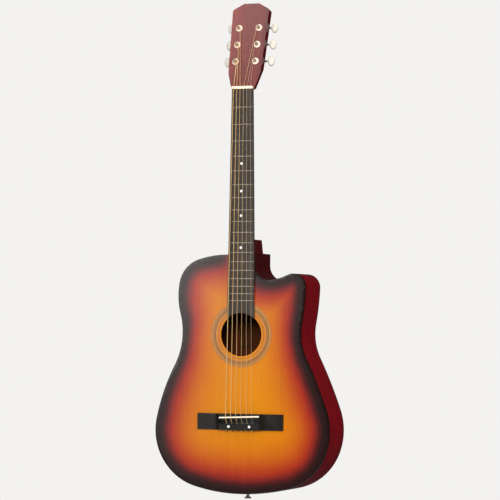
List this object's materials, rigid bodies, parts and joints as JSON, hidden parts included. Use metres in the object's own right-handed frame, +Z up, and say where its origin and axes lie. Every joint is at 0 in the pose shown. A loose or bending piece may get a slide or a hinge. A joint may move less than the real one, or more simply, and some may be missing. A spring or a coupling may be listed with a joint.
{
  "type": "acoustic guitar",
  "caption": "Steel-string acoustic guitar with a single cutaway, sunburst soundboard, screwed bridge and slant saddle, and geared open tuners on an angled headstock.",
  "frame": {"origin": "seat of the strap button, in the middle of the tail end of the body", "axes": "+Z up the neck, -Y out of the soundboard, +X towards the treble side with the cutaway"},
  "size_m": [0.3637, 0.0993, 0.9744],
  "materials": {
    "sunburst_lacquer": "gloss lacquer over spruce, amber in the middle to near black at the edge",
    "rosette_inlay": "fine inlaid rings under gloss lacquer",
    "cherry_lacquer": "transparent cherry gloss lacquer over straight-grained wood",
    "bare_wood": "bare wood, unfinished",
    "label_paper": "matte paper with no printing",
    "neck_lacquer": "dark red gloss lacquer",
    "headstock_wood": "red-brown wood under satin lacquer",
    "dark_board": "dry dark wood with open grain",
    "fret_metal": "polished nickel silver",
    "white_inlay": "glossy off-white",
    "cream_plastic": "polished cream, like bone",
    "black_wood": "black-stained wood with a soft gloss",
    "plain_steel": "plain zinc-plated steel",
    "ball_brass": "turned brass",
    "plated_metal": "nickel plate, lightly worn",
    "gear_brass": "plain brass",
    "cream_ferrule": "warm cream gloss",
    "ivory_plastic": "ivory-coloured plastic with a soft gloss",
    "wound_bronze": "bronze wrap wire",
    "plain_string": "plain tinned steel",
    "strap_button_metal": "turned metal, satin grey"
  },
  "bodies": {
    "guitar_body": {"soundboard": "sunburst_lacquer", "rosette": "rosette_inlay", "back_panel": "cherry_lacquer", "side_bass": "cherry_lacquer", "side_treble": "cherry_lacquer", "top_linings": "bare_wood", "back_linings": "bare_wood", "neck_block": "bare_wood", "tail_block": "bare_wood", "top_braces": "bare_wood", "back_braces": "bare_wood", "bridge_plate": "bare_wood", "soundhole_label": "label_paper", "neck": "neck_lacquer", "headstock_veneer": "headstock_wood", "truss_rod": "plain_steel", "fretboard": "dark_board", "frets": "fret_metal", "position_dots": "white_inlay", "nut": "cream_plastic", "bridge": "black_wood", "saddle": "cream_plastic", "bridge_bolts": "plain_steel", "bridge_bolt_caps": "white_inlay", "string_ball_ends": "ball_brass", "tuner_plates": "plated_metal", "tuner_bushings": "cream_ferrule", "tuner_plate_screws": "plated_metal", "strap_button": "strap_button_metal", "strap_button_screw": "plain_steel", "string_1": "wound_bronze", "string_2": "wound_bronze", "string_3": "wound_bronze", "string_4": "wound_bronze", "string_5": "plain_string", "string_6": "plain_string"},
    "tuner_key_1": {"tuner_worm_1": "plated_metal", "tuner_button_1": "ivory_plastic"},
    "string_post_1": {"tuner_post_1": "plated_metal", "tuner_gear_1": "gear_brass"},
    "tuner_key_2": {"tuner_worm_2": "plated_metal", "tuner_button_2": "ivory_plastic"},
    "string_post_2": {"tuner_post_2": "plated_metal", "tuner_gear_2": "gear_brass"},
    "tuner_key_3": {"tuner_worm_3": "plated_metal", "tuner_button_3": "ivory_plastic"},
    "string_post_3": {"tuner_post_3": "plated_metal", "tuner_gear_3": "gear_brass"},
    "tuner_key_4": {"tuner_worm_4": "plated_metal", "tuner_button_4": "ivory_plastic"},
    "string_post_4": {"tuner_post_4": "plated_metal", "tuner_gear_4": "gear_brass"},
    "tuner_key_5": {"tuner_worm_5": "plated_metal", "tuner_button_5": "ivory_plastic"},
    "string_post_5": {"tuner_post_5": "plated_metal", "tuner_gear_5": "gear_brass"},
    "tuner_key_6": {"tuner_worm_6": "plated_metal", "tuner_button_6": "ivory_plastic"},
    "string_post_6": {"tuner_post_6": "plated_metal", "tuner_gear_6": "gear_brass"}
  },
  "joints": [
    {"name": "key_turn_1", "type": "hinge", "parent": "guitar_body", "child": "tuner_key_1", "pos_m": [-0.0208, -0.00856, 0.84711], "axis": [1, 0, 0], "continuous": true},
    {"name": "post_turn_1", "type": "hinge", "parent": "guitar_body", "child": "string_post_1", "pos_m": [-0.0208, -0.0105, 0.83986], "axis": [0, -0.9659, 0.2588], "continuous": true},
    {"name": "key_turn_2", "type": "hinge", "parent": "guitar_body", "child": "tuner_key_2", "pos_m": [-0.0208, 0.0005, 0.88092], "axis": [1, 0, 0], "continuous": true},
    {"name": "post_turn_2", "type": "hinge", "parent": "guitar_body", "child": "string_post_2", "pos_m": [-0.0208, -0.00144, 0.87367], "axis": [0, -0.9659, 0.2588], "continuous": true},
    {"name": "key_turn_3", "type": "hinge", "parent": "guitar_body", "child": "tuner_key_3", "pos_m": [-0.0208, 0.00956, 0.91472], "axis": [1, 0, 0], "continuous": true},
    {"name": "post_turn_3", "type": "hinge", "parent": "guitar_body", "child": "string_post_3", "pos_m": [-0.0208, 0.00762, 0.90748], "axis": [0, -0.9659, 0.2588], "continuous": true},
    {"name": "key_turn_4", "type": "hinge", "parent": "guitar_body", "child": "tuner_key_4", "pos_m": [0.0208, 0.00956, 0.91472], "axis": [1, 0, 0], "continuous": true},
    {"name": "post_turn_4", "type": "hinge", "parent": "guitar_body", "child": "string_post_4", "pos_m": [0.0208, 0.00762, 0.90748], "axis": [0, -0.9659, 0.2588], "continuous": true},
    {"name": "key_turn_5", "type": "hinge", "parent": "guitar_body", "child": "tuner_key_5", "pos_m": [0.0208, 0.0005, 0.88092], "axis": [1, 0, 0], "continuous": true},
    {"name": "post_turn_5", "type": "hinge", "parent": "guitar_body", "child": "string_post_5", "pos_m": [0.0208, -0.00144, 0.87367], "axis": [0, -0.9659, 0.2588], "continuous": true},
    {"name": "key_turn_6", "type": "hinge", "parent": "guitar_body", "child": "tuner_key_6", "pos_m": [0.0208, -0.00856, 0.84711], "axis": [1, 0, 0], "continuous": true},
    {"name": "post_turn_6", "type": "hinge", "parent": "guitar_body", "child": "string_post_6", "pos_m": [0.0208, -0.0105, 0.83986], "axis": [0, -0.9659, 0.2588], "continuous": true}
  ],
  "couplings": [
    {"joint": "post_turn_1", "follows": "key_turn_1", "ratio": 0.071429},
    {"joint": "post_turn_2", "follows": "key_turn_2", "ratio": 0.071429},
    {"joint": "post_turn_3", "follows": "key_turn_3", "ratio": 0.071429},
    {"joint": "post_turn_4", "follows": "key_turn_4", "ratio": 0.071429},
    {"joint": "post_turn_5", "follows": "key_turn_5", "ratio": 0.071429},
    {"joint": "post_turn_6", "follows": "key_turn_6", "ratio": 0.071429}
  ]
}
